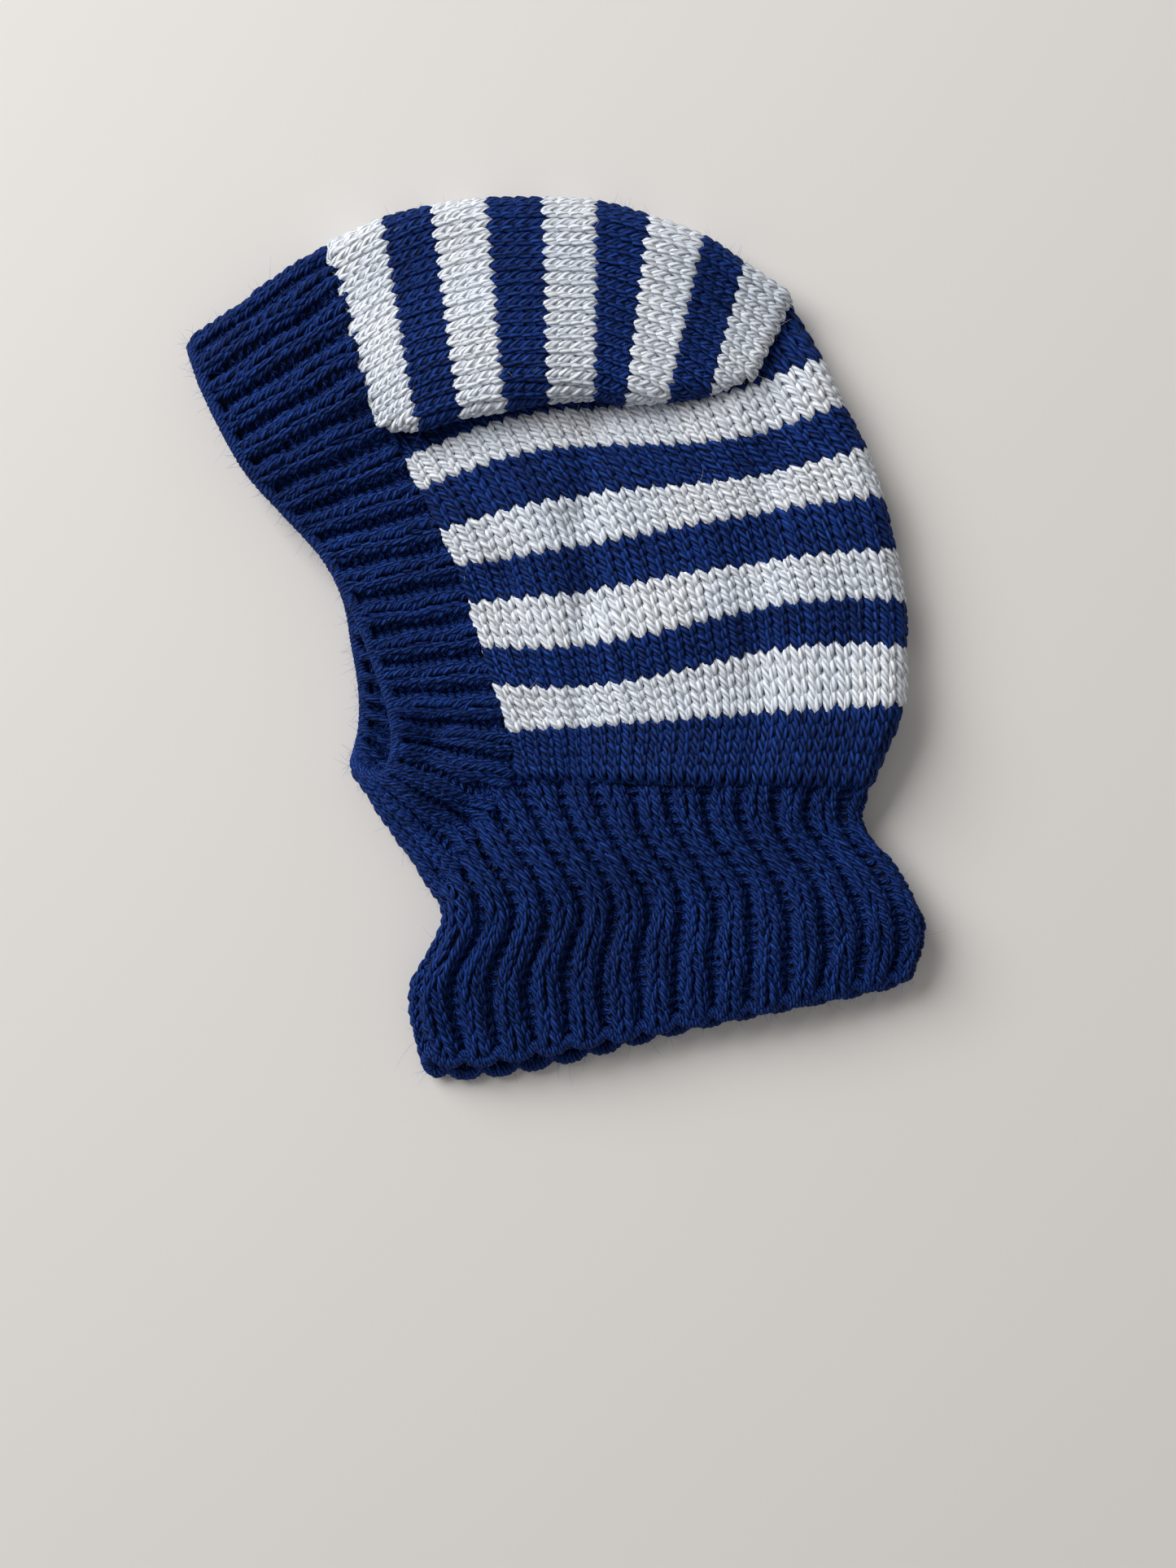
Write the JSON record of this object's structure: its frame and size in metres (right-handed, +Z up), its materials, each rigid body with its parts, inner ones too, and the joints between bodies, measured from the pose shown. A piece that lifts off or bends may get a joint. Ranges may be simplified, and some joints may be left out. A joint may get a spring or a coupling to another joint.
{
  "type": "knitted balaclava",
  "caption": "Child's hand-knitted balaclava lying flat on its side: striped hood with a shaped crown panel, ribbed face band and flared ribbed neck tube.",
  "frame": {"origin": "centre of the bounding box on the surface it lies on", "axes": "lying on its side: +X from the face to the back of the head, +Y from the neck hem to the crown, +Z up from the surface through the lower and then the upper layer of fabric"},
  "size_m": [0.2199, 0.26, 0.03],
  "materials": {
    "blue_yarn": "matt wool",
    "white_yarn": "matt wool"
  },
  "bodies": {
    "head": {"side_stripe_blue_1": "blue_yarn", "side_stripe_white_1": "white_yarn", "side_stripe_blue_2": "blue_yarn", "side_stripe_white_2": "white_yarn", "side_stripe_blue_3": "blue_yarn", "side_stripe_white_3": "white_yarn", "side_stripe_blue_4": "blue_yarn", "side_stripe_white_4": "white_yarn", "side_stripe_blue_5": "blue_yarn", "crown_stripe_white_1": "white_yarn", "crown_stripe_blue_1": "blue_yarn", "crown_stripe_white_2": "white_yarn", "crown_stripe_blue_2": "blue_yarn", "crown_stripe_white_3": "white_yarn", "crown_stripe_blue_3": "blue_yarn", "crown_stripe_white_4": "white_yarn", "crown_stripe_blue_4": "blue_yarn", "crown_stripe_white_5": "white_yarn", "face_band": "blue_yarn", "face_band_edge": "blue_yarn", "left_crown_seam": "blue_yarn", "right_crown_seam": "blue_yarn", "left_band_seam": "blue_yarn", "right_band_seam": "blue_yarn"},
    "neck": {"neck_rib": "blue_yarn", "neck_edge": "blue_yarn"}
  },
  "joints": [
    {"name": "neck_fold", "type": "hinge", "parent": "head", "child": "neck", "pos_m": [0, -0.038, 0.0215], "axis": [-1, 0, 0], "range_deg": [0, 174]}
  ]
}
